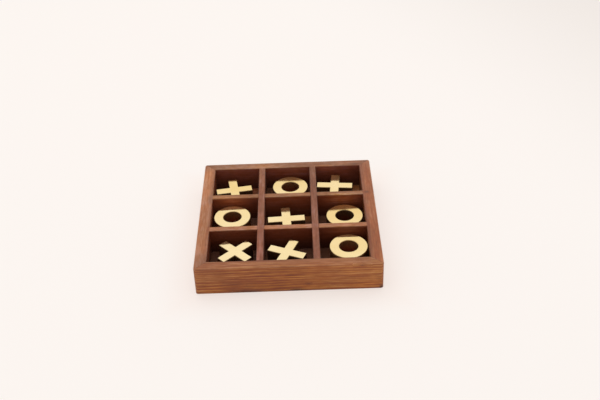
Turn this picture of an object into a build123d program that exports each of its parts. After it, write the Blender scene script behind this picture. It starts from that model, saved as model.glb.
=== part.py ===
from build123d import *
from math import cos, radians, sin
import os

# Tic-tac-toe tray: a square wooden tray with nine compartments, and nine loose brass pieces,
# five crosses and four rings. Millimetres, +Z up. X runs to the right and Y to the back.
# The origin is the middle of the tray's underside.

# Tray
tray_width = 145.0         # left to right, outside
tray_depth = 145.0         # front to back, outside
tray_height = 25.0
side_wall_thickness = 9.5  # the left and right walls
end_wall_thickness = 8.6   # the front and back walls
divider_thickness = 5.5
base_thickness = 4.0
compartments_each_way = 3

# Joinery
rebate_width = 4.5         # how far the base board reaches in under each wall
housing_depth = 2.5        # how far a divider's tongue goes into a wall
housing_stop = 4.0         # wood left above each housing, so that it doesn't show at the rim
joint_gap = 0.1            # room for glue in the housings and cross laps
base_gap = 0.2             # room round the edge of the base board

# Edges, sanded after the tray is glued up
corner_radius = 2.0        # the four upright outside corners
rim_radius = 1.0           # the outside edge at the rim
mouth_bevel = 0.4          # the edges round each compartment at the rim
foot_bevel = 0.5           # the outside edge underneath

# Pins that hold the base board
pin_length = 11.0
pin_diameter = 1.2
pin_point = 1.5
pin_head_diameter = 2.6
pin_head_thickness = 0.6
pin_head_depth = 0.2       # how far the heads are punched in under the surface
pin_fit = 0.05             # room round a pin in its hole

# Brass pieces
piece_height = 15.0
ring_diameter = 30.2
ring_bore = 14.9
cross_span = 30.7          # from the end of one arm to the end of the other
cross_arm_width = 7.7
piece_bevel = 0.35         # along every edge but a cross's inner corners
piece_gap = 0.15           # nearest that a piece lies to a wall of its compartment

# Worked out from the sizes above
clear_width = tray_width - 2 * side_wall_thickness
clear_depth = tray_depth - 2 * end_wall_thickness
compartment_width = (clear_width - 2 * divider_thickness) / compartments_each_way
compartment_depth = (clear_depth - 2 * divider_thickness) / compartments_each_way
pitch_x = compartment_width + divider_thickness
pitch_y = compartment_depth + divider_thickness
divider_x = pitch_x / 2
divider_y = pitch_y / 2
housing_top = tray_height - housing_stop
lap_height = (base_thickness + tray_height) / 2
slot_width = divider_thickness + 2 * joint_gap

# The nine pieces as they lie: which compartment, how far towards each of its walls (-1 touches
# the left or front wall's gap, 1 the right or back wall's), and the turn of a cross in degrees.
LEFT, MIDDLE, RIGHT = -1, 0, 1
FRONT, BACK = -1, 1
crosses = [
    ("cross_back_left", LEFT, BACK, -0.67, -1.0, 9.1),
    ("cross_back_right", RIGHT, BACK, -0.99, -0.38, -5.5),
    ("cross_middle", MIDDLE, MIDDLE, -0.42, -0.91, 3.3),
    ("cross_front_left", LEFT, FRONT, 0.35, 0.05, 44.2),
    ("cross_front_middle", MIDDLE, FRONT, -0.39, -0.72, -23.3),
]
rings = [
    ("ring_back_middle", MIDDLE, BACK, 0.56, -0.4),
    ("ring_middle_left", LEFT, MIDDLE, -0.58, 0.37),
    ("ring_middle_right", RIGHT, MIDDLE, 0.69, -0.35),
    ("ring_front_right", RIGHT, FRONT, 0.92, 0.46),
]


def place_in_compartment(column, row, toward_x, toward_y, half_size):
    """Where a piece of this half size stands in its compartment."""
    slack_x = compartment_width / 2 - half_size - piece_gap
    slack_y = compartment_depth / 2 - half_size - piece_gap
    x = column * pitch_x + toward_x * slack_x
    y = row * pitch_y + toward_y * slack_y
    return x, y


def save(piece, name):
    """Labels a finished piece and writes it to its own file."""
    piece.part.label = name
    export_step(piece.part, f"parts/{name}.step")


# The outer skin of the glued-up tray. Each wooden piece is cut to it, so the sanded edges run
# on unbroken from one piece to the next, as they do when a tray is sanded after gluing.
with BuildPart() as sanded_tray:
    with BuildSketch():
        Rectangle(tray_width, tray_depth)
    extrude(amount=tray_height)
    fillet(sanded_tray.edges().filter_by(Axis.Z), radius=corner_radius)
    fillet(sanded_tray.edges().group_by(Axis.Z)[-1], radius=rim_radius)
    chamfer(sanded_tray.edges().group_by(Axis.Z)[0], length=foot_bevel)
    with BuildSketch(Plane.XY.offset(base_thickness)):
        with GridLocations(pitch_x, pitch_y, compartments_each_way, compartments_each_way):
            Rectangle(compartment_width, compartment_depth)
    extrude(amount=tray_height - base_thickness, mode=Mode.SUBTRACT)
    rim = sanded_tray.faces().sort_by(Axis.Z)[-1]
    chamfer(rim.inner_wires().edges(), length=mouth_bevel)


# The four sides of the frame: name, turn about the tray's middle, length outside and inside,
# distance of the outer and the inner face from the middle, and how far along it the dividers meet it
sides = [
    ("front_wall", 0, tray_width, clear_width, tray_depth / 2, clear_depth / 2, divider_x),
    ("right_wall", 90, tray_depth, clear_depth, tray_width / 2, clear_width / 2, divider_y),
    ("back_wall", 180, tray_width, clear_width, tray_depth / 2, clear_depth / 2, divider_x),
    ("left_wall", 270, tray_depth, clear_depth, tray_width / 2, clear_width / 2, divider_y),
]


def pin_place(inner):
    """The one pin of a side: at its middle, half way across the rebate."""
    return 0, -inner - rebate_width / 2


def build_wall(turn, outer_length, inner_length, outer, inner, divider_offset):
    """One side of the frame, seen lying along X in front, then turned about the tray's middle."""
    ground = Plane.XY.rotated((0, 0, turn))
    with BuildPart() as wall:
        with BuildSketch(ground):
            with BuildLine():
                Polyline(
                    (-outer_length / 2, -outer),
                    (outer_length / 2, -outer),
                    (inner_length / 2, -inner),
                    (-inner_length / 2, -inner),
                    close=True,
                )
            make_face()
        extrude(amount=tray_height)
        # Rebate along the inside of the bottom edge, for the base board
        with BuildSketch(ground):
            with Locations((0, -inner - rebate_width / 2)):
                Rectangle(outer_length, rebate_width)
        extrude(amount=base_thickness, mode=Mode.SUBTRACT)
        # Stopped housings for the divider tongues
        with BuildSketch(ground):
            with Locations((-divider_offset, -inner), (divider_offset, -inner)):
                Rectangle(slot_width, 2 * housing_depth)
        extrude(amount=housing_top, mode=Mode.SUBTRACT)
        # Pin hole
        with BuildSketch(ground):
            with Locations(pin_place(inner)):
                Circle(pin_diameter / 2 + pin_fit)
        extrude(amount=pin_head_depth + pin_length + pin_fit, mode=Mode.SUBTRACT)
        add(sanded_tray.part, mode=Mode.INTERSECT)
    return wall


def build_divider(face, clear_length, crossing_offset, slots_from_top):
    """One divider, drawn in elevation on its middle plane: tongues, shoulders and two lap slots."""
    with BuildPart() as divider:
        with BuildSketch(face):
            with Locations((0, base_thickness)):
                Rectangle(clear_length, tray_height - base_thickness, align=(Align.CENTER, Align.MIN))
                Rectangle(
                    clear_length + 2 * (housing_depth - joint_gap),
                    housing_top - joint_gap - base_thickness,
                    align=(Align.CENTER, Align.MIN),
                )
            if slots_from_top:
                with Locations((-crossing_offset, tray_height), (crossing_offset, tray_height)):
                    Rectangle(
                        slot_width,
                        tray_height - lap_height,
                        align=(Align.CENTER, Align.MAX),
                        mode=Mode.SUBTRACT,
                    )
            else:
                with Locations((-crossing_offset, base_thickness), (crossing_offset, base_thickness)):
                    Rectangle(
                        slot_width,
                        lap_height + joint_gap - base_thickness,
                        align=(Align.CENTER, Align.MIN),
                        mode=Mode.SUBTRACT,
                    )
        extrude(amount=divider_thickness / 2, both=True)
        add(sanded_tray.part, mode=Mode.INTERSECT)
    return divider


os.makedirs("parts", exist_ok=True)

# Frame: four mitred walls
for name, turn, outer_length, inner_length, outer, inner, divider_offset in sides:
    save(build_wall(turn, outer_length, inner_length, outer, inner, divider_offset), name)

# Dividers: the two that run front to back are slotted from below and stay whole at the rim,
# and the two that run side to side are slotted from above
save(build_divider(Plane.YZ.offset(-divider_x), clear_depth, divider_y, False), "divider_left")
save(build_divider(Plane.YZ.offset(divider_x), clear_depth, divider_y, False), "divider_right")
save(build_divider(Plane.XZ.offset(divider_y), clear_width, divider_x, True), "divider_front")
save(build_divider(Plane.XZ.offset(-divider_y), clear_width, divider_x, True), "divider_back")

# Base board, let into the rebates
with BuildPart() as base_board:
    board_width = clear_width + 2 * (rebate_width - base_gap)
    board_depth = clear_depth + 2 * (rebate_width - base_gap)
    with BuildSketch():
        Rectangle(board_width, board_depth)
    extrude(amount=base_thickness)
    for name, turn, outer_length, inner_length, outer, inner, divider_offset in sides:
        ground = Plane.XY.rotated((0, 0, turn))
        with BuildSketch(ground):
            with Locations(pin_place(inner)):
                Circle(pin_diameter / 2 + pin_fit)
        extrude(amount=base_thickness, mode=Mode.SUBTRACT)
        with BuildSketch(ground):
            with Locations(pin_place(inner)):
                Circle(pin_head_diameter / 2 + pin_fit)
        extrude(amount=pin_head_depth + pin_head_thickness, mode=Mode.SUBTRACT)
save(base_board, "base_board")

# One pin, head down, turned from its half section
with BuildPart() as pin:
    with BuildSketch(Plane.XZ):
        with BuildLine():
            Polyline(
                (0, pin_head_depth),
                (pin_head_diameter / 2, pin_head_depth),
                (pin_head_diameter / 2, pin_head_depth + pin_head_thickness),
                (pin_diameter / 2, pin_head_depth + pin_head_thickness),
                (pin_diameter / 2, pin_head_depth + pin_length - pin_point),
                (0, pin_head_depth + pin_length),
                close=True,
            )
        make_face()
    revolve(axis=Axis.Z)

# Four pins, one in the middle of each wall
with BuildPart() as base_pins:
    for name, turn, outer_length, inner_length, outer, inner, divider_offset in sides:
        with Locations(Plane.XY.rotated((0, 0, turn))):
            with Locations(pin_place(inner)):
                add(pin.part)
save(base_pins, "base_pins")

# Crosses
for name, column, row, toward_x, toward_y, turn in crosses:
    angle = radians(abs(turn))
    half_size = cross_span / 2 * cos(angle) + cross_arm_width / 2 * sin(angle)
    place = place_in_compartment(column, row, toward_x, toward_y, half_size)
    with BuildPart() as cross:
        with BuildSketch(Plane.XY.offset(base_thickness)):
            with Locations(Location((*place, 0), (0, 0, turn))):
                Rectangle(cross_span, cross_arm_width)
                Rectangle(cross_arm_width, cross_span)
        extrude(amount=piece_height)
        middle = (*place, base_thickness + piece_height / 2)
        inner_corners = cross.edges().filter_by(Axis.Z).sort_by_distance(middle)[:4]
        chamfer(cross.edges() - inner_corners, length=piece_bevel)
    save(cross, name)

# Rings
for name, column, row, toward_x, toward_y in rings:
    place = place_in_compartment(column, row, toward_x, toward_y, ring_diameter / 2)
    with BuildPart() as ring:
        with BuildSketch(Plane.XY.offset(base_thickness)):
            with Locations(place):
                Circle(ring_diameter / 2)
                Circle(ring_bore / 2, mode=Mode.SUBTRACT)
        extrude(amount=piece_height)
        chamfer(ring.edges().filter_by(GeomType.CIRCLE), length=piece_bevel)
    save(ring, name)
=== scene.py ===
# %% [markdown]
# The tray is loaded first, as a fixed frame. Every wooden board and every brass piece comes in at its
# real size and place, in metres, with the origin in the middle of the tray's underside. This lesson
# adds a camera, light, a floor and the finish of the real thing, and leaves all shapes as they are.

# %% Load the tray
import bpy
import math
from mathutils import Matrix, Vector


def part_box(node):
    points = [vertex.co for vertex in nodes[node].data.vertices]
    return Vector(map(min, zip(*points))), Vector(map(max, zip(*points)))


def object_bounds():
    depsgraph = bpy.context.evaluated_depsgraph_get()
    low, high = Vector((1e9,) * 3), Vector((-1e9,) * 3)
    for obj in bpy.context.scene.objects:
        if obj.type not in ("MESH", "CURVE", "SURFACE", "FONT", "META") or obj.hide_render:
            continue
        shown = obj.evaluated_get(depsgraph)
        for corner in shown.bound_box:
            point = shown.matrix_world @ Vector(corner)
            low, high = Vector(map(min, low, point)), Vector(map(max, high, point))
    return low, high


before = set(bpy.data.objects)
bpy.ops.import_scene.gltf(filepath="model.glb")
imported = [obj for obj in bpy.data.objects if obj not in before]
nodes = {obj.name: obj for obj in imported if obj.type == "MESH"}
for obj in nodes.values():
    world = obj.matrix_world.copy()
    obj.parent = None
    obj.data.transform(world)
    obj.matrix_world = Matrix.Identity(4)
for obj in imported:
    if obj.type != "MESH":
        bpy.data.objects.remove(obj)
tray_low, tray_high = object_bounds()
MM = 0.001
print("pieces in the frame:", len(nodes))
print("tray size in mm:", [round(side / MM, 1) for side in tray_high - tray_low])

# %% [markdown]
# The photograph was taken from the front, a little to the right of the middle, looking down at about
# 35 degrees, with the camera tipped by 2 degrees. A camera can be placed by eye. Here its place, its
# turns and its lens come from matching the tray's corners, so that the picture can be laid over the
# photograph.

# %% Camera
CAMERA_PLACE = Vector((12.1, -611.3, 466.8)) * MM
CAMERA_DOWN = math.radians(35.25)
CAMERA_YAW = math.radians(0.17)
CAMERA_TIP = math.radians(-2.05)
CAMERA_LENS = 55.1
NEAREST_SEEN = 0.01
FARTHEST_SEEN = 20.0

camera_data = bpy.data.cameras.new("camera")
camera_data.lens = CAMERA_LENS
camera_data.clip_start = NEAREST_SEEN
camera_data.clip_end = FARTHEST_SEEN
camera = bpy.data.objects.new("camera", camera_data)
bpy.context.scene.collection.objects.link(camera)
aim = (
    Matrix.Rotation(CAMERA_YAW, 4, "Z")
    @ Matrix.Rotation(math.pi / 2 - CAMERA_DOWN, 4, "X")
    @ Matrix.Rotation(CAMERA_TIP, 4, "Z")
)
camera.matrix_world = Matrix.Translation(CAMERA_PLACE) @ aim
bpy.context.scene.camera = camera
bpy.context.scene.view_settings.view_transform = "Standard"
print("camera looks down by", round(math.degrees(CAMERA_DOWN), 1), "degrees")

# %% [markdown]
# Materials are node trees. In the editor a node is added, its values are typed in and its sockets are
# joined by hand. These helpers keep all of that to one line for one node. A value that is the same
# all over a surface is written on the socket, and only what changes over it is linked.


# %% Helpers that make and join nodes
def add_node(tree, kind, **values):
    """Makes a node. Names that aren't its settings are its input sockets, with _ for a space."""
    node = tree.nodes.new(kind)
    for name, value in values.items():
        if hasattr(node, name):
            setattr(node, name, value)
        else:
            node.inputs[name.replace("_", " ")].default_value = value
    return node


def do_math(tree, operation, first, second=0.0, third=0.0, clamp=False):
    """A Math node on sockets or plain numbers, and its result."""
    node = tree.nodes.new("ShaderNodeMath")
    node.operation = operation
    node.use_clamp = clamp
    for place, value in enumerate((first, second, third)):
        if isinstance(value, (int, float)):
            node.inputs[place].default_value = value
        else:
            tree.links.new(value, node.inputs[place])
    return node.outputs[0]


def split(tree, vector):
    """The X, Y and Z of a vector socket."""
    node = tree.nodes.new("ShaderNodeSeparateXYZ")
    tree.links.new(vector, node.inputs[0])
    return node.outputs


print("helpers for nodes ready")

# %% [markdown]
# Most effects come down to two moves: a measure, such as a height, is turned into a mask that runs
# from 0 to 1, and the mask then decides how much of one colour covers another.


# %% Helpers for masks and colours
def remap(tree, value, low, high, to_low=0.0, to_high=1.0, smooth=True):
    """Stretches low to high onto another range, and holds it there outside."""
    node = tree.nodes.new("ShaderNodeMapRange")
    node.interpolation_type = "SMOOTHSTEP" if smooth else "LINEAR"
    tree.links.new(value, node.inputs["Value"])
    for name, number in zip(("From Min", "From Max", "To Min", "To Max"), (low, high, to_low, to_high)):
        node.inputs[name].default_value = number
    return node.outputs["Result"]


def fade_out(tree, value, low, high):
    """A mask that is 1 up to low, and falls to 0 at high."""
    return remap(tree, value, low, high, to_low=1.0, to_high=0.0)


def mix_color(tree, factor, first, second, blend="MIX"):
    """A colour mix of sockets or plain colours, and its result."""
    node = tree.nodes.new("ShaderNodeMix")
    node.data_type = "RGBA"
    node.blend_type = blend
    for socket, value in ((node.inputs[0], factor), (node.inputs[6], first), (node.inputs[7], second)):
        if isinstance(value, bpy.types.NodeSocket):
            tree.links.new(value, socket)
        elif isinstance(value, (int, float)):
            socket.default_value = value
        else:
            socket.default_value = (*value[:3], 1.0)
    return node.outputs[2]


def tint_color(tree, amount, color, tint):
    """Multiplies a colour by a tint, where the amount says so and as much as it says."""
    return mix_color(tree, amount, color, tint, "MULTIPLY")


print("helpers for colours ready")

# %% [markdown]
# The light is a pale studio: a white sweep behind and above the tray, which the polished brass
# mirrors, and a dimmer room behind the camera, so that the walls that face the camera inside the
# compartments fall into shade. A ring of lamps could do that, and each would have to be balanced. A
# world that is brighter on one side does it with nothing to tune. Where the camera looks past the
# floor, it sees a plain white.

# %% World
SWEEP_WHITE = (1.0, 0.985, 0.965)
ROOM_WHITE = (0.72, 0.70, 0.675)
SEEN_WHITE = (0.980, 0.925, 0.885)
SWEEP_STARTS = -0.55
SWEEP_FULL = 0.35

world = bpy.data.worlds.new("studio")
bpy.context.scene.world = world
world.use_nodes = True
world.node_tree.nodes.clear()
tree = world.node_tree
direction = tree.nodes.new("ShaderNodeTexCoord").outputs["Generated"]
toward_sweep = remap(tree, split(tree, direction)["Y"], SWEEP_STARTS, SWEEP_FULL)
room = tree.nodes.new("ShaderNodeBackground")
tree.links.new(mix_color(tree, toward_sweep, ROOM_WHITE, SWEEP_WHITE), room.inputs["Color"])
seen = add_node(tree, "ShaderNodeBackground", Color=(*SEEN_WHITE, 1.0))
path = tree.nodes.new("ShaderNodeLightPath")
pick = tree.nodes.new("ShaderNodeMixShader")
tree.links.new(path.outputs["Is Camera Ray"], pick.inputs["Fac"])
tree.links.new(room.outputs[0], pick.inputs[1])
tree.links.new(seen.outputs[0], pick.inputs[2])
tree.links.new(pick.outputs[0], tree.nodes.new("ShaderNodeOutputWorld").inputs["Surface"])
print("world nodes:", len(tree.nodes))

# %% [markdown]
# One lamp overhead gives the rim and the tops a little more light than the sides. A small lamp would
# draw a hard shadow, so this one is wide, like a softbox. The brass doesn't mirror the lamp itself,
# which would burn the polished tops white when they are seen from above.

# %% Lamp
LAMP_SIZE = 1.1
LAMP_POWER = 4.0
LAMP_COLOR = (1.0, 0.97, 0.93)
LAMP_PLACE = Vector((-0.15, 0.35, 1.35))
LAMP_TILT = (math.radians(-14), math.radians(-6), 0.0)

lamp_data = bpy.data.lights.new("overhead_softbox", "AREA")
lamp_data.shape = "SQUARE"
lamp_data.size = LAMP_SIZE
lamp_data.energy = LAMP_POWER
lamp_data.color = LAMP_COLOR
lamp = bpy.data.objects.new("overhead_softbox", lamp_data)
lamp.location = LAMP_PLACE
lamp.rotation_euler = LAMP_TILT
lamp.visible_glossy = False
bpy.context.scene.collection.objects.link(lamp)
print("lamp of", LAMP_POWER, "W and", LAMP_SIZE, "m,", round(LAMP_PLACE.z, 2), "m up")

# %% [markdown]
# Every material here starts in the same way, with an output and one Principled shader, which does for
# wood, metal and paper alike. The rest of its tree is built onto the sockets of that shader.


# %% An empty material
def new_material(name):
    """An empty node material with its output and one Principled shader."""
    material = bpy.data.materials.new(name)
    material.use_nodes = True
    material.node_tree.nodes.clear()
    tree = material.node_tree
    output = tree.nodes.new("ShaderNodeOutputMaterial")
    shader = tree.nodes.new("ShaderNodeBsdfPrincipled")
    tree.links.new(shader.outputs["BSDF"], output.inputs["Surface"])
    return material, tree, shader


print("empty material ready")

# %% [markdown]
# The floor is a plain pale sheet, a few metres wide, so that its edge is far behind the tray in every
# view. It lies a hair below the tray, because two faces in one plane would flicker. Its white falls
# off a little towards the far right corner, a painted fall-off of the light on the real sheet, and
# close to the tray it takes a painted warm bounce of light from the wood. Both are masks on the sheet,
# worked out from the place.

# %% Floor
FLOOR_SIZE = 6.0
FLOOR_DROP = 0.05 * MM
FLOOR_COLOR = (0.950, 0.890, 0.855)
FLOOR_ROUGHNESS = 0.75
FLOOR_SPECULAR = 0.2
FALL_OFF_TINT = (0.890, 0.880, 0.870)
FALL_OFF_RIGHT = 0.9
FALL_OFF_BACK = 0.45
FALL_OFF_STARTS = 0.22
FALL_OFF_FULL = 0.65
BOUNCE_TINT = (1.0, 0.965, 0.950)
BOUNCE_REACH = 35 * MM

bpy.ops.object.select_all(action="DESELECT")
bpy.ops.mesh.primitive_plane_add(size=FLOOR_SIZE, location=(0, 0, -FLOOR_DROP))
floor = bpy.context.object
floor.name = "floor"
floor_material, tree, shader = new_material("pale_floor")
floor.data.materials.append(floor_material)

place = split(tree, tree.nodes.new("ShaderNodeTexCoord").outputs["Object"])
toward_right = do_math(tree, "MULTIPLY", place["X"], FALL_OFF_RIGHT)
toward_corner = do_math(tree, "MULTIPLY_ADD", place["Y"], FALL_OFF_BACK, toward_right)
fall_off = remap(tree, toward_corner, FALL_OFF_STARTS, FALL_OFF_FULL)
past_x = do_math(tree, "SUBTRACT", do_math(tree, "ABSOLUTE", place["X"]), tray_high.x)
past_y = do_math(tree, "SUBTRACT", do_math(tree, "ABSOLUTE", place["Y"]), tray_high.y)
past_tray = do_math(tree, "MAXIMUM", past_x, past_y)
shade = mix_color(tree, fall_off, (1.0, 1.0, 1.0), FALL_OFF_TINT)
# painted warm bounce of light from the wood, close to the tray
shade = tint_color(tree, fade_out(tree, past_tray, 0.0, BOUNCE_REACH), shade, BOUNCE_TINT)
tree.links.new(tint_color(tree, 1.0, shade, FLOOR_COLOR), shader.inputs["Base Color"])
shader.inputs["Roughness"].default_value = FLOOR_ROUGHNESS
shader.inputs["Specular IOR Level"].default_value = FLOOR_SPECULAR
print("floor is", FLOOR_SIZE, "m across")

# %% [markdown]
# Light that comes up through a lit table thins the shadow on it. A stronger lamp would thin it too,
# and burn the tray. So where the camera or the brass sees the sheet, part of its white is a plain
# glow, and the rest is lit like everything else and keeps the tray's soft shadow. Right under the
# tray, where nobody looks from above, the sheet is clear, so that the tray's underside is lit and can
# be looked at from below.

# %% Floor glow
GLOW_COLOR = (0.974, 0.926, 0.892)
GLOW_SHARE = 0.68
CLEAR_INSET = 2 * MM

glow = add_node(tree, "ShaderNodeEmission", Strength=1.0)
tree.links.new(tint_color(tree, 1.0, shade, GLOW_COLOR), glow.inputs["Color"])
path = tree.nodes.new("ShaderNodeLightPath")
seen_or_mirrored = do_math(tree, "MAXIMUM", path.outputs["Is Camera Ray"], path.outputs["Is Glossy Ray"])
share = tree.nodes.new("ShaderNodeMixShader")
tree.links.new(do_math(tree, "MULTIPLY", seen_or_mirrored, GLOW_SHARE), share.inputs["Fac"])
tree.links.new(shader.outputs["BSDF"], share.inputs[1])
tree.links.new(glow.outputs["Emission"], share.inputs[2])
opening = tree.nodes.new("ShaderNodeMixShader")
tree.links.new(do_math(tree, "LESS_THAN", past_tray, -CLEAR_INSET), opening.inputs["Fac"])
tree.links.new(share.outputs["Shader"], opening.inputs[1])
tree.links.new(tree.nodes.new("ShaderNodeBsdfTransparent").outputs["BSDF"], opening.inputs[2])
tree.links.new(opening.outputs["Shader"], tree.nodes["Material Output"].inputs["Surface"])
print("floor material nodes:", len(tree.nodes))

# %% [markdown]
# What several materials share, such as grain or wear, is a node group with named sockets. It is built
# once and placed in each material with that material's own values. Wood and brushed metal both need
# marks that are long one way and thin the other, so there is a helper for stretched noise as well.
# Its scale counts the cells in a metre along, across and up.

# %% Helpers for groups and noise
FLOAT, COLOR, VECTOR = "NodeSocketFloat", "NodeSocketColor", "NodeSocketVector"


def new_group(name, inputs, outputs):
    """A shader node group with named sockets. Inputs are (name, kind, value), outputs (name, kind)."""
    group = bpy.data.node_groups.new(name, "ShaderNodeTree")
    for socket_name, kind, value in inputs:
        socket = group.interface.new_socket(name=socket_name, in_out="INPUT", socket_type=kind)
        if value is not None:
            socket.default_value = value
    for socket_name, kind in outputs:
        group.interface.new_socket(name=socket_name, in_out="OUTPUT", socket_type=kind)
    return group, group.nodes.new("NodeGroupInput").outputs, group.nodes.new("NodeGroupOutput").inputs


def use_group(tree, group, vector, **values):
    """A group node that reads a vector, with its other inputs set to plain values."""
    node = add_node(tree, "ShaderNodeGroup", node_tree=group, **values)
    tree.links.new(vector, node.inputs["Vector"])
    return node


def stretched_noise(tree, vector, seed, scale, detail, roughness=0.55):
    """Noise whose cells are as long along X, and as thin across, as the scale says."""
    stretch = add_node(tree, "ShaderNodeMapping", Scale=scale)
    tree.links.new(vector, stretch.inputs["Vector"])
    noise = add_node(
        tree, "ShaderNodeTexNoise", noise_dimensions="4D", Scale=1.0, Detail=detail, Roughness=roughness
    )
    tree.links.new(stretch.outputs[0], noise.inputs["Vector"])
    tree.links.new(seed, noise.inputs["W"])
    return noise.outputs["Fac"]


print("helpers for groups ready")

# %% [markdown]
# The boards are an open-grained reddish hardwood. A flat picture of wood could be laid on each face,
# and its lines would break at every edge. A board's figure comes from the tree's rings, which are long
# tubes round the tree's middle, so here the pattern is worked out from the distance to an axis that
# runs along the board and lies outside it. Faces of one board then match at their shared edge, as on
# sawn wood. Noise that is stretched along the board makes the bands drift and swell.

# %% Rings and bands of a board
BAND_CHANGES_PER_METRE = 9.0

grain, ins, outs = new_group(
    "board_grain",
    [
        ("Vector", VECTOR, None),
        ("Lift", FLOAT, 0.0),
        ("Heart Y", FLOAT, 0.03),
        ("Heart Z", FLOAT, -0.05),
        ("Seed", FLOAT, 0.0),
        ("Band Width", FLOAT, 0.0026),
        ("Ring Width", FLOAT, 0.0009),
        ("Wander", FLOAT, 0.007),
    ],
    [
        ("Band", FLOAT),
        ("Line", FLOAT),
        ("Ring", FLOAT),
        ("Fibre", FLOAT),
        ("Pore", FLOAT),
        ("Patch", FLOAT),
        ("Mottle", FLOAT),
        ("Blush", FLOAT),
    ],
)
along, across, up = split(grain, ins["Vector"])
from_heart_y = do_math(grain, "SUBTRACT", across, ins["Heart Y"])
from_heart_z = do_math(grain, "SUBTRACT", up, ins["Heart Z"])
squares = do_math(grain, "MULTIPLY", from_heart_y, from_heart_y)
squares = do_math(grain, "MULTIPLY_ADD", from_heart_z, from_heart_z, squares)
wander = stretched_noise(grain, ins["Vector"], ins["Seed"], scale=(14.0, 60.0, 60.0), detail=3.0)
wander_lift = do_math(grain, "MULTIPLY", do_math(grain, "SUBTRACT", wander, 0.5), ins["Wander"])
radius = do_math(grain, "ADD", do_math(grain, "SQRT", squares), wander_lift)
radius = do_math(grain, "ADD", radius, ins["Lift"])

# each year's growth is a ring, and a broken light and dark line on the board
year = do_math(grain, "MULTIPLY", do_math(grain, "DIVIDE", radius, ins["Ring Width"]), 2 * math.pi)
broken = stretched_noise(grain, ins["Vector"], ins["Seed"], scale=(50.0, 400.0, 400.0), detail=2.0)
kept = remap(grain, broken, low=0.35, high=0.6)
grain.links.new(do_math(grain, "MULTIPLY", do_math(grain, "SINE", year), kept), outs["Ring"])

# broad bands follow the rings, with thin dark lines of dense wood between them
band_place = grain.nodes.new("ShaderNodeCombineXYZ")
grain.links.new(do_math(grain, "MULTIPLY", along, BAND_CHANGES_PER_METRE), band_place.inputs["X"])
grain.links.new(do_math(grain, "DIVIDE", radius, ins["Band Width"]), band_place.inputs["Y"])
grain.links.new(ins["Seed"], band_place.inputs["Z"])
band = stretched_noise(
    grain, band_place.outputs[0], ins["Seed"], scale=(1.0, 1.0, 1.0), detail=4.0, roughness=0.62
)
grain.links.new(remap(grain, band, low=0.3, high=0.7, smooth=False), outs["Band"])
line = stretched_noise(grain, band_place.outputs[0], ins["Seed"], scale=(1.6, 2.6, 1.0), detail=2.0)
grain.links.new(remap(grain, line, low=0.54, high=0.68), outs["Line"])
print("rings and bands take", len(grain.nodes), "nodes")

# %% [markdown]
# Close up, the same wood has finer marks: fibres, the short dark dashes of its open pores, patches
# that took more of the colour, a mottle of a few millimetres where the fibres dip in and out, and
# blushes that turn it from tan to mauve. Each is a noise of its own size and leaves the group by its
# own socket, so that one board can have more of a mark than another.

# %% Fibres, pores and blotches
PORE_LIMIT = 0.74
PORE_CROWDING = -0.2
PORE_SHARPNESS = 14.0
BLOTCHES = {
    "Patch": dict(seed_step=0.0, scale=(22.0, 90.0, 90.0), detail=3.0),
    "Mottle": dict(seed_step=2.9, scale=(170.0, 480.0, 480.0), detail=3.0),
    "Blush": dict(seed_step=5.3, scale=(70.0, 190.0, 190.0), detail=4.0),
}

fibre = stretched_noise(grain, ins["Vector"], ins["Seed"], scale=(38.0, 1250.0, 1250.0), detail=2.0)
grain.links.new(remap(grain, fibre, low=0.32, high=0.68, smooth=False), outs["Fibre"])

pore = stretched_noise(grain, ins["Vector"], ins["Seed"], scale=(130.0, 2600.0, 2600.0), detail=1.0)
crowd = stretched_noise(grain, ins["Vector"], ins["Seed"], scale=(20.0, 260.0, 260.0), detail=2.0)
pore_limit = do_math(grain, "MULTIPLY_ADD", crowd, PORE_CROWDING, PORE_LIMIT)
past_limit = do_math(grain, "SUBTRACT", pore, pore_limit)
grain.links.new(do_math(grain, "MULTIPLY", past_limit, PORE_SHARPNESS, clamp=True), outs["Pore"])

for name, blotch in BLOTCHES.items():
    seed = do_math(grain, "ADD", ins["Seed"], blotch["seed_step"])
    noise = stretched_noise(grain, ins["Vector"], seed, blotch["scale"], blotch["detail"])
    grain.links.new(remap(grain, noise, low=0.36, high=0.64), outs[name])
print("the whole grain group takes", len(grain.nodes), "nodes")

# %% [markdown]
# A knot is where a branch left the tree: the bands part and run round it. It could be painted by hand.
# Lifting the ring count by a smooth hump gives the same swirl with no painting, and the top of the
# hump is the knot's dark heart. The same hump, on its own, tints a spot of the wood.

# %% Knots and spots
HUMP_EDGE = 2.4
HEART_CORE = 0.25
HEART_EDGE = 0.7

knot, ins, outs = new_group(
    "knot",
    [("Vector", VECTOR, None), ("Centre", VECTOR, (0, 0, 0)), ("Reach", VECTOR, (0.006, 0.003, 0.003))],
    [("Hump", FLOAT), ("Heart", FLOAT)],
)
offset = add_node(knot, "ShaderNodeVectorMath", operation="SUBTRACT")
knot.links.new(ins["Vector"], offset.inputs[0])
knot.links.new(ins["Centre"], offset.inputs[1])
scaled = add_node(knot, "ShaderNodeVectorMath", operation="DIVIDE")
knot.links.new(offset.outputs[0], scaled.inputs[0])
knot.links.new(ins["Reach"], scaled.inputs[1])
distance = add_node(knot, "ShaderNodeVectorMath", operation="LENGTH")
knot.links.new(scaled.outputs[0], distance.inputs[0])
knot.links.new(fade_out(knot, distance.outputs["Value"], 0.0, HUMP_EDGE), outs["Hump"])
knot.links.new(fade_out(knot, distance.outputs["Value"], HEART_CORE, HEART_EDGE), outs["Heart"])
print("knot group has", len(knot.nodes), "nodes")
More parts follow.
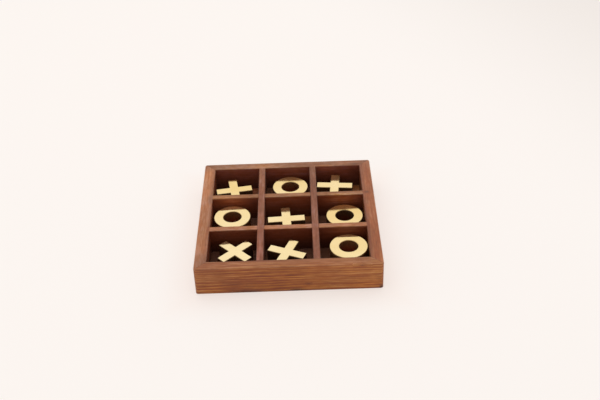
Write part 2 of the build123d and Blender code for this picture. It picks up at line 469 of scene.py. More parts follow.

# %% [markdown]
# Handling wears the rounded edges first. A mask for that could be painted. On this tray only the
# rounded and bevelled edges have a normal that lies between level and upright, so the normal itself
# finds them. Noise breaks the mask up, because no edge wears evenly.

# %% Worn edges
# the pale that this mask gives the outer edges is partly a painted highlight
wear, ins, outs = new_group(
    "worn_edge",
    [("Vector", VECTOR, None), ("Seed", FLOAT, 0.0), ("Break Up", FLOAT, 0.5)],
    [("Worn", FLOAT)],
)
normal = wear.nodes.new("ShaderNodeTexCoord").outputs["Normal"]
slope = do_math(wear, "ABSOLUTE", split(wear, normal)["Z"])
from_level = remap(wear, slope, low=0.08, high=0.3)
from_upright = fade_out(wear, slope, low=0.88, high=0.99)
rounded = do_math(wear, "MULTIPLY", from_level, from_upright)
patchy = stretched_noise(wear, ins["Vector"], ins["Seed"], scale=(90.0, 90.0, 90.0), detail=3.0)
patchy = remap(wear, patchy, low=0.4, high=0.62)
kept = do_math(wear, "SUBTRACT", 1.0, do_math(wear, "MULTIPLY", ins["Break Up"], patchy))
wear.links.new(do_math(wear, "MULTIPLY", rounded, kept), outs["Worn"])
print("wear group has", len(wear.nodes), "nodes")

# %% [markdown]
# Inside the compartments the wood is darker. Part of that is stain, which pools there where sandpaper
# and hands don't reach in, and part is painted shade, which is darkest near the floor. The rim turns
# darker towards the mouth of the tray, and the outside gets a painted shade along its foot, where it
# stands on the floor. Ambient occlusion finds such places too, but it can't tell a compartment from
# the gap under the tray. Here they are masks from the height and from the distance to the frame's inner
# faces, which are read from the frame. Each mask reaches a touch past the face that it ends at, so that
# the face itself is taken in.

# %% Stain and painted shade inside, and painted shade at the foot
INNER_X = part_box("right_wall")[0].x
INNER_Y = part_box("back_wall")[0].y
FLOOR_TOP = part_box("base_board")[1].z
RIM_TOP = tray_high.z
TOUCH = 0.1 * MM
STAIN_AND_SHADE_FADES = RIM_TOP - 0.8 * MM
STAIN_AND_SHADE_ENDS = RIM_TOP - 0.1 * MM
DEEP_FULL = 5 * MM
DEEP_ENDS = 20 * MM
FOOT_SHADE_FULL = 0.4 * MM
FOOT_SHADE_ENDS = 3.4 * MM
MOUTH_BEVEL = 0.4 * MM

shading, ins, outs = new_group(
    "stain_and_painted_shade",
    [("Vector", VECTOR, None), ("Mouth Reach", FLOAT, 0.003)],
    [("Inside", FLOAT), ("Deep Shade", FLOAT), ("Foot", FLOAT), ("Mouth", FLOAT), ("Outer", FLOAT)],
)
place = split(shading, ins["Vector"])
past_x = do_math(shading, "SUBTRACT", do_math(shading, "ABSOLUTE", place["X"]), INNER_X + TOUCH)
past_y = do_math(shading, "SUBTRACT", do_math(shading, "ABSOLUTE", place["Y"]), INNER_Y + TOUCH)
past_mouth = do_math(shading, "MAXIMUM", past_x, past_y)
within = do_math(shading, "LESS_THAN", past_mouth, 0.0)
below_rim = fade_out(shading, place["Z"], STAIN_AND_SHADE_FADES, STAIN_AND_SHADE_ENDS)
above_floor = do_math(shading, "GREATER_THAN", place["Z"], FLOOR_TOP - TOUCH)
inside = do_math(shading, "MULTIPLY", do_math(shading, "MULTIPLY", within, below_rim), above_floor)
mouth_share = do_math(shading, "DIVIDE", past_mouth, ins["Mouth Reach"])
# Inside: stain and painted shade in the compartments
shading.links.new(inside, outs["Inside"])
# Deep Shade: painted shade, darkest near the compartment floors
shading.links.new(fade_out(shading, place["Z"], DEEP_FULL, DEEP_ENDS), outs["Deep Shade"])
# Foot: painted shade along the bottom of the outside
shading.links.new(fade_out(shading, place["Z"], FOOT_SHADE_FULL, FOOT_SHADE_ENDS), outs["Foot"])
# Mouth: the rim turns darker towards its inner edge
shading.links.new(fade_out(shading, mouth_share, 0.0, 1.0), outs["Mouth"])
shading.links.new(do_math(shading, "GREATER_THAN", past_mouth, MOUTH_BEVEL), outs["Outer"])
print("frame's inner faces in mm:", round(INNER_X / MM, 1), round(INNER_Y / MM, 1))

# %% [markdown]
# Two kinds of joint show on the rim as hair lines: the mitres, where two walls meet at a slant, and
# the laps, where a divider that runs front to back passes the two that cross it. The boards only
# touch there, so the line has to be drawn, and both places are worked out from the boards' own boxes.

# %% Joint lines
MITRE_X = tray_high.x - INNER_X
MITRE_Y = tray_high.y - INNER_Y
MITRE_LENGTH = math.hypot(MITRE_X, MITRE_Y)
FRAME_MARGIN = 0.5 * MM
LINE_CORE = 0.1 * MM
MITRE_EDGE = 0.45 * MM
LAP_EDGE = 0.6 * MM
lap_low, lap_high = (corner.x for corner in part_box("divider_right"))

joint_line, ins, outs = new_group(
    "joint_line", [("Vector", VECTOR, None)], [("Mitre", FLOAT), ("Lap", FLOAT)]
)
place = split(joint_line, ins["Vector"])
far_x = do_math(joint_line, "ABSOLUTE", place["X"])
far_y = do_math(joint_line, "ABSOLUTE", place["Y"])
from_side = do_math(joint_line, "SUBTRACT", far_x, tray_high.x)
from_end = do_math(joint_line, "SUBTRACT", far_y, tray_high.y)
side_part = do_math(joint_line, "MULTIPLY", from_side, MITRE_Y / MITRE_LENGTH)
end_part = do_math(joint_line, "MULTIPLY", from_end, MITRE_X / MITRE_LENGTH)
off_mitre = do_math(joint_line, "ABSOLUTE", do_math(joint_line, "SUBTRACT", side_part, end_part))
on_mitre = fade_out(joint_line, off_mitre, LINE_CORE, MITRE_EDGE)
on_frame = do_math(joint_line, "GREATER_THAN", far_x, INNER_X - FRAME_MARGIN)
joint_line.links.new(do_math(joint_line, "MULTIPLY", on_mitre, on_frame), outs["Mitre"])

from_low = do_math(joint_line, "ABSOLUTE", do_math(joint_line, "SUBTRACT", far_x, lap_low))
from_high = do_math(joint_line, "ABSOLUTE", do_math(joint_line, "SUBTRACT", far_x, lap_high))
off_lap = do_math(joint_line, "MINIMUM", from_low, from_high)
joint_line.links.new(fade_out(joint_line, off_lap, LINE_CORE, LAP_EDGE), outs["Lap"])
print("laps from", round(lap_low / MM, 1), "to", round(lap_high / MM, 1), "mm")

# %% [markdown]
# The figure's marks become one tone, from dark to light, and the tone picks the colour between three
# that were matched to the photograph. A ramp node would do the same, and two plain mixes are easier
# to read in a script. The blotches then tint that colour, each as strongly as its board asks.

# %% Colour of the figure
WOOD_DARK = (0.225, 0.046, 0.005)
WOOD_MIDDLE = (0.320, 0.098, 0.025)
WOOD_LIGHT = (0.430, 0.182, 0.082)
MIDDLE_TONE = 0.56
BAND_SHARE = 0.25
FIBRE_SHARE = 0.60
RING_SHARE = 0.25
LINE_SHARE = -0.15
PATCH_TINTS = (0.86, 0.78, 0.60), (1.13, 1.18, 1.34)
# the paler end of the mottle is bluer: partly a painted sheen where the fibres catch the light
MOTTLE_AND_SHEEN_TINTS = (0.90, 0.81, 0.50), (1.10, 1.18, 1.50)
BLUSH_TINTS = (1.04, 0.96, 0.84), (0.97, 1.03, 1.20)


def color_figure(tree, figure, contrast, rings, mottle, blush):
    """The colour that a board's figure gives it, before its spots, wear and stain."""
    band = do_math(tree, "SUBTRACT", figure["Band"], 0.5)
    fibre = do_math(tree, "SUBTRACT", figure["Fibre"], 0.5)
    tone = do_math(tree, "MULTIPLY_ADD", band, BAND_SHARE * contrast, MIDDLE_TONE)
    tone = do_math(tree, "MULTIPLY_ADD", fibre, FIBRE_SHARE * contrast, tone)
    tone = do_math(tree, "MULTIPLY_ADD", figure["Ring"], RING_SHARE * rings, tone)
    tone = do_math(tree, "MULTIPLY_ADD", figure["Line"], LINE_SHARE * contrast, tone, clamp=True)
    color = mix_color(tree, remap(tree, tone, 0.0, 0.5, smooth=False), WOOD_DARK, WOOD_MIDDLE)
    color = mix_color(tree, remap(tree, tone, 0.5, 1.0, smooth=False), color, WOOD_LIGHT)
    color = tint_color(tree, 1.0, color, mix_color(tree, figure["Patch"], *PATCH_TINTS))
    color = tint_color(tree, mottle, color, mix_color(tree, figure["Mottle"], *MOTTLE_AND_SHEEN_TINTS))
    return tint_color(tree, blush, color, mix_color(tree, figure["Blush"], *BLUSH_TINTS))


print("colours of the figure ready")

# %% [markdown]
# A board also has spots of its own: a paler streak, a dark scar, the shade round a knot. Other spots
# are painted light and painted shade on the walls and floors inside the compartments, and a painted
# sheen along the front rim. They could be painted on a picture of the board. Here each is a soft hump
# at a place on the board that tints what is there, and the fibres thin it, so that it looks soaked in
# along the grain.

# %% Spots of a board
SPOT_COVER = 0.6
SPOT_FIBRE_COVER = 0.5


def add_spots(tree, color, position, fibre, spots):
    """A board's colour after the tints of its spots."""
    cover = do_math(tree, "MULTIPLY_ADD", fibre, SPOT_FIBRE_COVER, SPOT_COVER, clamp=True)
    for centre, reach, tint in spots:
        hump = use_group(tree, knot, position, Centre=centre, Reach=reach).outputs["Hump"]
        color = tint_color(tree, do_math(tree, "MULTIPLY", hump, cover), color, tint)
    return color


print("spots ready")

# %% [markdown]
# The rest of the finish goes on in layers, as a painter would lay it on, and each layer is a mix of two
# colours by a mask. The outer edges are worn pale, with a painted highlight, while the rim darkens
# towards the mouth and the rounded edges inside it turn darker. The pores stay dark. Stain and painted
# shade cover the inside and even out its colour, and the painted shade is darkest near the floor.
# Painted shade along the foot and the joint lines come last.

# %% Wear, stain and painted shade
WOOD_WORN_AND_HIGHLIGHT = (0.560, 0.270, 0.130)
PORE_COLOR = (0.070, 0.020, 0.010)
JOINT_COLOR = (0.080, 0.026, 0.014)
FOOT_SHADE_TINT = (0.74, 0.72, 0.76)
DEEP_SHADE_TINT = (0.50, 0.56, 0.62)
MOUTH_TINT = (0.52, 0.45, 0.44)
EDGE_TINT = (0.62, 0.54, 0.46)
WORN_AND_HIGHLIGHT_STRENGTH = 0.45
PORE_STRENGTH = 0.6
STAIN_EVENNESS = 0.5
FOOT_SHADE_STRENGTH = 0.75
JOINT_STRENGTH = 0.3


def age_and_shade_color(tree, color, position, pore, inside_stain_and_shade, mouth, joint):
    """A board's colour after wear, a painted highlight, stain and painted shade, and the mask of its worn
    outer edges.
    """
    mouth_strength, mouth_reach = mouth
    shade = use_group(tree, shading, position, Mouth_Reach=mouth_reach).outputs
    worn = use_group(tree, wear, position).outputs["Worn"]
    outer_edge = do_math(tree, "MULTIPLY", worn, shade["Outer"])
    inner_edge = do_math(tree, "SUBTRACT", worn, outer_edge)
    # the pale outer edges are wear and a painted highlight on the rounded arris
    color = mix_color(tree, do_math(tree, "MULTIPLY", outer_edge, WORN_AND_HIGHLIGHT_STRENGTH), color, WOOD_WORN_AND_HIGHLIGHT)
    # the rounded edges inside the mouth and on the dividers turn darker
    color = tint_color(tree, inner_edge, color, EDGE_TINT)
    color = mix_color(tree, do_math(tree, "MULTIPLY", pore, PORE_STRENGTH), color, PORE_COLOR)

    # the inside tint is partly stain and partly painted shade
    stained_and_shaded = tint_color(tree, 1.0, mix_color(tree, STAIN_EVENNESS, color, WOOD_MIDDLE), inside_stain_and_shade)
    # painted shade, darkest near the compartment floors
    stained_and_shaded = tint_color(tree, shade["Deep Shade"], stained_and_shaded, DEEP_SHADE_TINT)
    # the rim turns darker towards its inner edge
    mouth_darkening = do_math(tree, "MULTIPLY", shade["Mouth"], mouth_strength)
    color = tint_color(tree, mouth_darkening, color, MOUTH_TINT)
    color = mix_color(tree, shade["Inside"], color, stained_and_shaded)
    # painted shade along the foot of the outside
    color = tint_color(tree, do_math(tree, "MULTIPLY", shade["Foot"], FOOT_SHADE_STRENGTH), color, FOOT_SHADE_TINT)
    if joint:
        line = use_group(tree, joint_line, position).outputs[joint]
        color = mix_color(tree, do_math(tree, "MULTIPLY", line, JOINT_STRENGTH), color, JOINT_COLOR)
    return color, outer_edge


print("wear, stain and painted shade ready")

# %% [markdown]
# Each board gets its own wood: its own place in the tree, its own tone at either end, its own stain and
# painted shade inside, and the knots and spots that show on it. Nine materials could be built by hand,
# but they differ only in values, so one function makes them all. The finish is a thin satin oil, so the
# pores stay open and are a little rougher than the fibres, and worn edges are a little smoother.

# %% One board's wood
KNOT_COLOR = (0.180, 0.042, 0.010)
KNOT_STRENGTH = 0.7
OIL_ROUGHNESS = 0.42
PORE_ROUGHER = 0.25
FIBRE_ROUGHER = 0.10
WORN_SMOOTHER = -0.08
PORE_RELIEF = -1.0
FIBRE_RELIEF = 0.25
RELIEF_DEPTH = 0.12 * MM
SEED_PER_METRE = 100


def make_wood(
    name,
    turn,
    shift,
    heart,
    tones,
    inside_stain_and_shade,
    contrast=1.0,
    rings=0.4,
    ring_width=0.0009,
    stretch=1.0,
    wander=0.007,
    mottle=1.0,
    blush=1.0,
    mouth=(0.0, 0.003),
    knots=(),
    spots=(),
    joint="Mitre",
):
    """One board's wood. Its grain runs along X, turned by turn, and shift moves the pattern."""
    material, tree, shader = new_material("wood_" + name)
    position = add_node(tree, "ShaderNodeTexCoord").outputs["Object"]
    turned = add_node(tree, "ShaderNodeMapping", Rotation=(0.0, 0.0, -math.radians(turn)))
    tree.links.new(position, turned.inputs["Vector"])
    moved = add_node(tree, "ShaderNodeMapping", Location=shift, Scale=(stretch, 1.0, 1.0))
    tree.links.new(turned.outputs[0], moved.inputs["Vector"])
    grain_node = use_group(
        tree,
        grain,
        moved.outputs[0],
        Heart_Y=heart[0],
        Heart_Z=heart[1],
        Seed=shift[0] * SEED_PER_METRE,
        Ring_Width=ring_width,
        Wander=wander,
    )
    figure = grain_node.outputs

    color = color_figure(tree, figure, contrast, rings, mottle, blush)
    down_board = remap(tree, split(tree, turned.outputs[0])["X"], tray_low.x, tray_high.x, smooth=False)
    color = tint_color(tree, 1.0, color, mix_color(tree, down_board, *tones))
    color = add_spots(tree, color, position, figure["Fibre"], spots)
    if knots:
        lift, heart_mask = 0.0, 0.0
        for centre, reach, height in knots:
            hump = use_group(tree, knot, position, Centre=centre, Reach=reach).outputs
            lift = do_math(tree, "MULTIPLY_ADD", hump["Hump"], height, lift)
            heart_mask = do_math(tree, "MAXIMUM", hump["Heart"], heart_mask)
        tree.links.new(lift, grain_node.inputs["Lift"])
        color = mix_color(tree, do_math(tree, "MULTIPLY", heart_mask, KNOT_STRENGTH), color, KNOT_COLOR)
    color, outer_edge = age_and_shade_color(tree, color, position, figure["Pore"], inside_stain_and_shade, mouth, joint)
    tree.links.new(color, shader.inputs["Base Color"])

    rough = do_math(tree, "MULTIPLY_ADD", figure["Pore"], PORE_ROUGHER, OIL_ROUGHNESS)
    rough = do_math(tree, "MULTIPLY_ADD", figure["Fibre"], FIBRE_ROUGHER, rough)
    rough = do_math(tree, "MULTIPLY_ADD", outer_edge, WORN_SMOOTHER, rough)
    tree.links.new(rough, shader.inputs["Roughness"])

    relief = do_math(tree, "MULTIPLY", figure["Fibre"], FIBRE_RELIEF)
    relief = do_math(tree, "MULTIPLY_ADD", figure["Pore"], PORE_RELIEF, relief)
    bump = add_node(tree, "ShaderNodeBump", Strength=0.35, Distance=RELIEF_DEPTH)
    tree.links.new(relief, bump.inputs["Height"])
    tree.links.new(bump.outputs["Normal"], shader.inputs["Normal"])
    return material


print("wood ready")

# %% [markdown]
# The front wall has three small knots. Most boards have paler and darker places of their own, and
# inside the compartments some of the spots are painted light and painted shade. A knot is written as
# its middle, its reach along X, Y and Z, and how far it lifts the rings, all in metres. A spot is
# written as its middle, its reach, and its tint of red, green and blue, where less than 1 darkens and
# more than 1 lightens.

# %% Knots and spots of the boards
FRONT_KNOTS = [
    ((0.0560, -0.0720, 0.0236), (0.0036, 0.0060, 0.0017), 0.0085),
    ((0.0150, -0.0720, 0.0070), (0.0018, 0.0040, 0.0008), 0.0030),
    ((0.0335, -0.0720, 0.0050), (0.0012, 0.0040, 0.0006), 0.0025),
]
FRONT_SPOTS = [
    ((-0.0500, -0.0725, 0.0228), (0.0100, 0.0030, 0.0010), (1.30, 1.36, 1.40)),
    # a painted sheen along the front rim
    ((0.0000, -0.0680, 0.0256), (0.0900, 0.0100, 0.0006), (0.98, 1.16, 2.50)),
    ((-0.0050, -0.0725, 0.0125), (0.0280, 0.0030, 0.0200), (1.04, 0.94, 0.38)),
    ((-0.0600, -0.0725, 0.0050), (0.0080, 0.0030, 0.0040), (1.42, 1.60, 1.70)),
    ((0.0600, -0.0725, 0.0045), (0.0100, 0.0030, 0.0040), (1.45, 1.50, 1.25)),
    ((0.0570, -0.0665, 0.0256), (0.0080, 0.0030, 0.0006), (0.68, 0.58, 0.56)),
    ((0.0500, -0.0725, 0.0190), (0.0060, 0.0100, 0.0034), (1.28, 1.34, 1.20)),
    ((0.0660, -0.0725, 0.0170), (0.0050, 0.0030, 0.0040), (1.20, 1.28, 1.15)),
    ((-0.0320, -0.0725, 0.0008), (0.0080, 0.0100, 0.0014), (0.26, 0.18, 0.10)),
    ((0.0060, -0.0725, 0.0010), (0.0042, 0.0100, 0.0015), (0.20, 0.13, 0.08)),
    ((0.0150, -0.0725, 0.0072), (0.0022, 0.0100, 0.0010), (0.56, 0.44, 0.30)),
    ((0.0710, -0.0725, 0.0018), (0.0012, 0.0100, 0.0014), (0.25, 0.22, 0.45)),
    ((-0.0725, -0.0725, 0.0120), (0.0034, 0.0100, 0.0200), (1.12, 1.20, 1.35)),
]
LEFT_SPOTS = [
    ((-0.0680, -0.0655, 0.0250), (0.0060, 0.0085, 0.0100), (0.54, 0.44, 0.28)),
    ((-0.0655, 0.0180, 0.0250), (0.0012, 0.0050, 0.0100), (0.696, 0.68, 0.728)),
    ((-0.0690, 0.0700, 0.0250), (0.0040, 0.0045, 0.0100), (0.78, 0.76, 0.84)),
]
RIGHT_SPOTS = [
    ((0.0665, 0.0225, 0.0250), (0.0014, 0.0012, 0.0100), (0.45, 0.45, 0.50)),
]
BACK_SPOTS = [
    ((0.0000, 0.0735, 0.0100), (0.0900, 0.0010, 0.0110), (1.00, 0.80, 0.50)),
    ((0.0590, 0.0662, 0.0250), (0.0040, 0.0012, 0.0100), (0.46, 0.46, 0.505)),
    ((-0.0200, 0.0680, 0.0250), (0.0090, 0.0030, 0.0100), (1.342, 1.405, 1.405)),
    # these three are on the inner face: painted light near the top and painted shade at the right end
    ((0.0330, 0.0639, 0.0225), (0.0050, 0.0020, 0.0020), (1.90, 2.10, 2.00)),
    ((0.0590, 0.0639, 0.0180), (0.0040, 0.0020, 0.0040), (0.30, 0.28, 0.25)),
    ((0.0120, 0.0639, 0.0200), (0.0060, 0.0020, 0.0030), (1.60, 1.80, 1.80)),
]
# painted light on the face just above the front right ring
DIVIDER_FRONT_PAINTED_LIGHT = [
    ((0.0460, -0.0250, 0.0205), (0.0090, 0.0020, 0.0030), (1.80, 2.15, 2.10)),
]
# on the face towards the middle row: painted light above the rings, painted shade at a right end and in
# the middle
DIVIDER_BACK_LIGHT_AND_SHADE = [
    ((0.0460, 0.0195, 0.0208), (0.0080, 0.0020, 0.0030), (3.20, 4.00, 3.60)),
    ((-0.0470, 0.0195, 0.0222), (0.0060, 0.0020, 0.0022), (1.90, 1.70, 1.20)),
    ((-0.0290, 0.0195, 0.0180), (0.0040, 0.0020, 0.0040), (0.15, 0.10, 0.10)),
    ((0.0000, 0.0195, 0.0160), (0.0100, 0.0020, 0.0032), (0.50, 0.48, 0.50)),
]
# painted light and painted shade on the floors of the compartments
BASE_LIGHT_AND_SHADE = [
    ((-0.0300, 0.0600, 0.0040), (0.0035, 0.0045, 0.0014), (4.40, 3.40, 3.30)),
    ((0.0620, 0.0600, 0.0040), (0.0040, 0.0040, 0.0014), (6.00, 5.60, 3.20)),
    ((0.0160, 0.0170, 0.0040), (0.0030, 0.0030, 0.0014), (5.00, 5.00, 2.80)),
    ((-0.0440, -0.0320, 0.0040), (0.0120, 0.0070, 0.0014), (0.40, 0.36, 0.50)),
    ((-0.0050, -0.0320, 0.0040), (0.0120, 0.0070, 0.0014), (0.45, 0.34, 0.38)),
]
print("knots on the front wall:", len(FRONT_KNOTS))

# %% [markdown]
# The nine boards differ as nine real ones do. Shift is where in the tree the board was cut, heart is
# where the tree's middle lies beside it, and the two tones are the tints of its left or front end and
# of its right or back end; on the walls and dividers, a tone whose blue is higher than its red is partly
# a painted sheen on the rim. Contrast and rings are the strength of its streaks and of its year lines,
# and a stretch under 1 draws the figure out along the board. Mouth is how much darker its rim turns
# towards its inner edge, and how far. What a board doesn't say stays at the usual value.

# %% Nine boards
BOARDS = {
    "front_wall": dict(
        turn=0,
        shift=(0.11, 0.0, 0.0),
        heart=(0.03, -0.06),
        tones=((0.88, 0.78, 0.39), (0.94, 0.86, 0.41)),
        inside_stain_and_shade=(0.52, 0.42, 0.50),
        contrast=1.5,
        rings=1.8,
        ring_width=0.0014,
        stretch=0.6,
        wander=0.005,
        blush=0.25,
        mouth=(0.6, 0.0025),
        knots=FRONT_KNOTS,
        spots=FRONT_SPOTS,
    ),
    "back_wall": dict(
        turn=0,
        shift=(0.47, 0.02, 0.01),
        heart=(-0.05, -0.08),
        tones=((0.82, 0.98, 1.12), (0.80, 0.90, 1.04)),
        inside_stain_and_shade=(0.68, 0.45, 0.68),
        contrast=1.1,
        spots=BACK_SPOTS,
    ),
    "left_wall": dict(
        turn=90,
        shift=(0.83, 0.01, 0.0),
        heart=(0.05, -0.07),
        tones=((1.24, 1.50, 2.15), (1.14, 1.26, 1.25)),
        inside_stain_and_shade=(0.51, 0.33, 0.31),
        contrast=0.8,
        mottle=0.5,
        mouth=(0.55, 0.0037),
        spots=LEFT_SPOTS,
    ),
    "right_wall": dict(
        turn=90,
        shift=(1.29, -0.02, 0.0),
        heart=(-0.06, -0.05),
        tones=((1.01, 0.87, 0.59), (0.92, 0.83, 0.73)),
        inside_stain_and_shade=(0.53, 0.42, 0.31),
        contrast=0.9,
        mottle=0.6,
        mouth=(0.72, 0.0050),
        spots=RIGHT_SPOTS,
    ),
    "divider_left": dict(
        turn=90,
        shift=(1.61, 0.0, 0.02),
        heart=(0.04, -0.09),
        tones=((0.77, 0.68, 1.00), (0.72, 0.73, 0.79)),
        inside_stain_and_shade=(0.52, 0.42, 0.50),
        joint=None,
    ),
    "divider_right": dict(
        turn=90,
        shift=(2.03, 0.0, 0.01),
        heart=(0.02, -0.10),
        tones=((0.79, 0.72, 1.00), (0.62, 0.65, 0.76)),
        inside_stain_and_shade=(0.52, 0.42, 0.50),
        joint=None,
    ),
    "divider_front": dict(
        turn=0,
        shift=(2.41, 0.0, 0.0),
        heart=(0.03, -0.08),
        tones=((1.02, 1.17, 1.43), (1.06, 1.15, 1.25)),
        inside_stain_and_shade=(0.45, 0.26, 0.24),
        spots=DIVIDER_FRONT_PAINTED_LIGHT,
        joint="Lap",
    ),
    "divider_back": dict(
        turn=0,
        shift=(2.87, 0.0, 0.0),
        heart=(0.02, -0.07),
        tones=((1.06, 1.36, 1.40), (0.78, 0.93, 1.10)),
        inside_stain_and_shade=(0.70, 0.42, 0.44),
        spots=DIVIDER_BACK_LIGHT_AND_SHADE,
        joint="Lap",
    ),
    "base_board": dict(
        turn=0,
        shift=(3.31, 0.0, 0.0),
        heart=(0.0, -0.16),
        tones=((0.85, 0.95, 0.95), (0.80, 0.90, 0.95)),
        inside_stain_and_shade=(0.83, 0.81, 1.18),
        spots=BASE_LIGHT_AND_SHADE,
        joint=None,
    ),
}
for name, recipe in BOARDS.items():
    nodes[name].material_slots[0].material = make_wood(name, **recipe)
print("wooden boards finished:", len(BOARDS))

# %% [markdown]
# The playing pieces are cast brass. Their faces are ground flat and polished until they mirror the
# room, while the sides keep a softer, brushed look, and age the more the lower they are. Faces and
# sides could have two materials. A mask from the normal tells one from the other, so that a single
# material does both. The faces turn paler towards the front, a painted reflection of the bright sweep,
# as the photograph shows, and a Side Shade below 1 darkens the sides with grime and painted shade.

# %% Brass colour
BRASS_FACE = (0.890, 0.650, 0.270)
BRASS_PALE_AND_GLEAM = (0.955, 0.775, 0.440)
BRASS_SIDE = (0.640, 0.420, 0.190)
BRASS_DULL = (0.440, 0.280, 0.140)
BRASS_AGED = (0.430, 0.235, 0.100)
BRASS_TARNISH = (0.500, 0.160, 0.080)
BRASS_GRIME_AND_SHADE = (0.090, 0.050, 0.030)
PALE_SPREAD = 1.4
GLEAM_TOWARD_BACK = -14.0
BORE_SIDE = 8.2 * MM
OUTER_SIDE = 9.5 * MM
TARNISH_FULL = 8.0 * MM
TARNISH_ENDS = 18.6 * MM

brass, ins, outs = new_group(
    "polished_brass",
    [
        ("Vector", VECTOR, None),
        ("Wheel Vector", VECTOR, None),
        ("Seed", FLOAT, 0.0),
        ("Pale", FLOAT, 0.5),
        ("Side Shade", FLOAT, 1.0),
        ("Tip", FLOAT, 0.0),
        ("Twist", FLOAT, 0.0),
    ],
    [("Color", COLOR), ("Roughness", FLOAT), ("Height", FLOAT)],
)
place = split(brass, ins["Vector"])
normal = brass.nodes.new("ShaderNodeTexCoord").outputs["Normal"]
face = remap(brass, do_math(brass, "ABSOLUTE", split(brass, normal)["Z"]), low=0.8, high=0.98)
haze = stretched_noise(brass, ins["Vector"], ins["Seed"], scale=(160.0, 160.0, 160.0), detail=4.0)
haze = remap(brass, haze, low=0.42, high=0.7)

pale_seed = do_math(brass, "ADD", ins["Seed"], 3.7)
pale_and_gleam = stretched_noise(brass, ins["Vector"], pale_seed, scale=(60.0, 60.0, 60.0), detail=2.0)
pale_and_gleam = do_math(brass, "MULTIPLY_ADD", do_math(brass, "SUBTRACT", pale_and_gleam, 0.5), PALE_SPREAD, ins["Pale"])
# painted reflection: the faces turn paler towards the front, where they mirror the bright sweep
pale_and_gleam = do_math(brass, "MULTIPLY_ADD", place["Y"], GLEAM_TOWARD_BACK, pale_and_gleam, clamp=True)
face_color = mix_color(brass, pale_and_gleam, BRASS_FACE, BRASS_PALE_AND_GLEAM)

# near a piece's middle, as in a ring's bore, the tarnish is reddest
squares = do_math(brass, "MULTIPLY", place["X"], place["X"])
from_middle = do_math(brass, "SQRT", do_math(brass, "MULTIPLY_ADD", place["Y"], place["Y"], squares))
aged = mix_color(brass, remap(brass, from_middle, BORE_SIDE, OUTER_SIDE), BRASS_TARNISH, BRASS_AGED)
tarnish = fade_out(brass, place["Z"], TARNISH_FULL, TARNISH_ENDS)
side_color = mix_color(brass, haze, BRASS_SIDE, BRASS_DULL)
side_color = mix_color(brass, tarnish, side_color, aged)
# grime and painted shade darken the sides as Side Shade falls below 1
side_color = mix_color(brass, ins["Side Shade"], BRASS_GRIME_AND_SHADE, side_color)
brass.links.new(mix_color(brass, face, side_color, face_color), outs["Color"])
print("brass colour takes", len(brass.nodes), "nodes")

# %% [markdown]
# The polishing wheel leaves fine scratches that run one way, and a faint ripple. No face comes off
# the wheel quite level, so each piece mirrors the dark wood behind it a little differently. Turning
# the real piece would change its shape. A height that rises evenly across the piece, given to the
# bump, tips its shading by that same small angle, and one that rises faster at one side twists it.

# %% Brass polish
FACE_ROUGHNESS = 0.08
FACE_HAZE = 0.06
SCRATCH_ROUGHER = 0.02
SIDE_ROUGHNESS = 0.34
SIDE_HAZE = 0.15
SCRATCH_HEIGHT = -0.0004 * MM
RIPPLE_HEIGHT = 0.08 * MM
BRUSH_HEIGHT = 0.01 * MM

wheel = ins["Wheel Vector"]
scratch = stretched_noise(brass, wheel, ins["Seed"], scale=(300.0, 9000.0, 9000.0), detail=2.0)
scratch = remap(brass, scratch, low=0.62, high=0.72)
face_rough = do_math(brass, "MULTIPLY_ADD", scratch, SCRATCH_ROUGHER, FACE_ROUGHNESS)
face_rough = do_math(brass, "MULTIPLY_ADD", haze, FACE_HAZE, face_rough)
side_rough = do_math(brass, "MULTIPLY_ADD", haze, SIDE_HAZE, SIDE_ROUGHNESS)
rough_step = do_math(brass, "MULTIPLY", face, do_math(brass, "SUBTRACT", face_rough, side_rough))
brass.links.new(do_math(brass, "ADD", side_rough, rough_step), outs["Roughness"])

slope = do_math(brass, "MULTIPLY_ADD", place["X"], ins["Twist"], ins["Tip"])
tipped = do_math(brass, "MULTIPLY", do_math(brass, "MULTIPLY", place["Y"], slope), face)
ripple = stretched_noise(brass, ins["Vector"], ins["Seed"], scale=(70.0, 70.0, 70.0), detail=2.0)
marks = do_math(brass, "MULTIPLY", ripple, RIPPLE_HEIGHT)
marks = do_math(brass, "MULTIPLY_ADD", scratch, SCRATCH_HEIGHT, marks)
brushed = stretched_noise(brass, ins["Vector"], ins["Seed"], scale=(500.0, 500.0, 3000.0), detail=2.0)
side_marks = do_math(brass, "MULTIPLY", brushed, do_math(brass, "SUBTRACT", 1.0, face))
marks = do_math(brass, "MULTIPLY_ADD", side_marks, BRUSH_HEIGHT, marks)
brass.links.new(do_math(brass, "ADD", marks, tipped), outs["Height"])
print("the whole brass group takes", len(brass.nodes), "nodes")

# %% [markdown]
# A piece's finish is worked out from its own middle, so the frame's box of the piece gives the place.
# Its seed, how pale it is, partly a painted reflection, the shade of its sides, grime and painted
# shade, its tip and twist, and the way of its scratches, in degrees, make it one of nine.

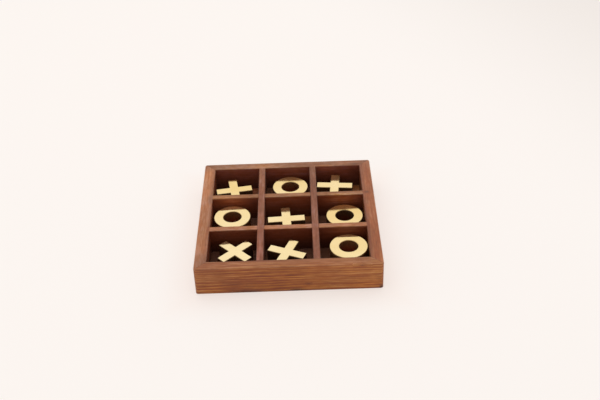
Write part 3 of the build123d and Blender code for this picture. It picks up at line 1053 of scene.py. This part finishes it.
# %% Brass pieces
PIECES = {
    "cross_back_left": dict(seed=1.0, pale_and_gleam=0.20, side_shade=0.4, tip=-0.036, twist=0.0, turn=10),
    "cross_back_right": dict(seed=2.0, pale_and_gleam=0.50, side_shade=0.4, tip=-0.106, twist=0.0, turn=80),
    "cross_middle": dict(seed=3.0, pale_and_gleam=0.65, side_shade=0.4, tip=-0.115, twist=0.0, turn=35),
    "cross_front_left": dict(seed=4.0, pale_and_gleam=0.95, side_shade=0.4, tip=-0.055, twist=2.6, turn=120),
    "cross_front_middle": dict(seed=5.0, pale_and_gleam=0.75, side_shade=0.4, tip=-0.036, twist=0.0, turn=60),
    "ring_back_middle": dict(seed=6.0, pale_and_gleam=0.30, side_shade=0.9, tip=-0.078, twist=0.0, turn=20),
    "ring_middle_left": dict(seed=7.0, pale_and_gleam=0.75, side_shade=0.9, tip=-0.006, twist=1.3, turn=95),
    "ring_middle_right": dict(seed=8.0, pale_and_gleam=0.12, side_shade=0.45, tip=-0.104, twist=1.1, turn=150),
    "ring_front_right": dict(seed=9.0, pale_and_gleam=0.45, side_shade=1.0, tip=0.045, twist=0.2, turn=45),
}


def make_brass(name, seed, pale_and_gleam, side_shade, tip, twist, turn):
    """One piece's brass. Tip and twist slope the polished face, and turn is the way of its scratches."""
    material, tree, shader = new_material("brass_" + name)
    low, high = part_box(name)
    middle = (low + high) / 2
    centred = add_node(tree, "ShaderNodeMapping", Location=(-middle.x, -middle.y, 0.0))
    tree.links.new(add_node(tree, "ShaderNodeTexCoord").outputs["Object"], centred.inputs["Vector"])
    turned = add_node(tree, "ShaderNodeMapping", Rotation=(0.0, 0.0, math.radians(turn)))
    tree.links.new(centred.outputs[0], turned.inputs["Vector"])
    finish = use_group(
        tree, brass, centred.outputs[0], Seed=seed, Pale=pale_and_gleam, Side_Shade=side_shade, Tip=tip, Twist=twist
    )
    tree.links.new(turned.outputs[0], finish.inputs["Wheel Vector"])
    tree.links.new(finish.outputs["Color"], shader.inputs["Base Color"])
    tree.links.new(finish.outputs["Roughness"], shader.inputs["Roughness"])
    bump = add_node(tree, "ShaderNodeBump", Strength=1.0, Distance=1.0)
    tree.links.new(finish.outputs["Height"], bump.inputs["Height"])
    tree.links.new(bump.outputs["Normal"], shader.inputs["Normal"])
    shader.inputs["Metallic"].default_value = 0.95
    return material


for name, recipe in PIECES.items():
    nodes[name].material_slots[0].material = make_brass(name, **recipe)
print("brass pieces finished:", len(PIECES))

# %% [markdown]
# The pins that hold the base board are common steel brads. Only their heads show, from underneath, so
# a plain steel with a few spots of rust is enough. One noise gives the rust, the roughness and the
# relief, because on real steel they come together.

# %% Pins
PIN_STEEL = (0.46, 0.44, 0.42)
PIN_RUST = (0.16, 0.09, 0.055)

pin_material, tree, shader = new_material("pin_steel")
position = add_node(tree, "ShaderNodeTexCoord").outputs["Object"]
spots = add_node(tree, "ShaderNodeTexNoise", Scale=900.0, Detail=4.0)
tree.links.new(position, spots.inputs["Vector"])
rust = remap(tree, spots.outputs["Fac"], low=0.5, high=0.7)
rough = remap(tree, spots.outputs["Fac"], low=0.3, high=0.7, to_low=0.28, to_high=0.62)
tree.links.new(mix_color(tree, rust, PIN_STEEL, PIN_RUST), shader.inputs["Base Color"])
tree.links.new(rough, shader.inputs["Roughness"])
bump = add_node(tree, "ShaderNodeBump", Strength=0.4, Distance=0.04 * MM)
tree.links.new(spots.outputs["Fac"], bump.inputs["Height"])
tree.links.new(bump.outputs["Normal"], shader.inputs["Normal"])
shader.inputs["Metallic"].default_value = 1.0
nodes["base_pins"].material_slots[0].material = pin_material
print("pins finished")
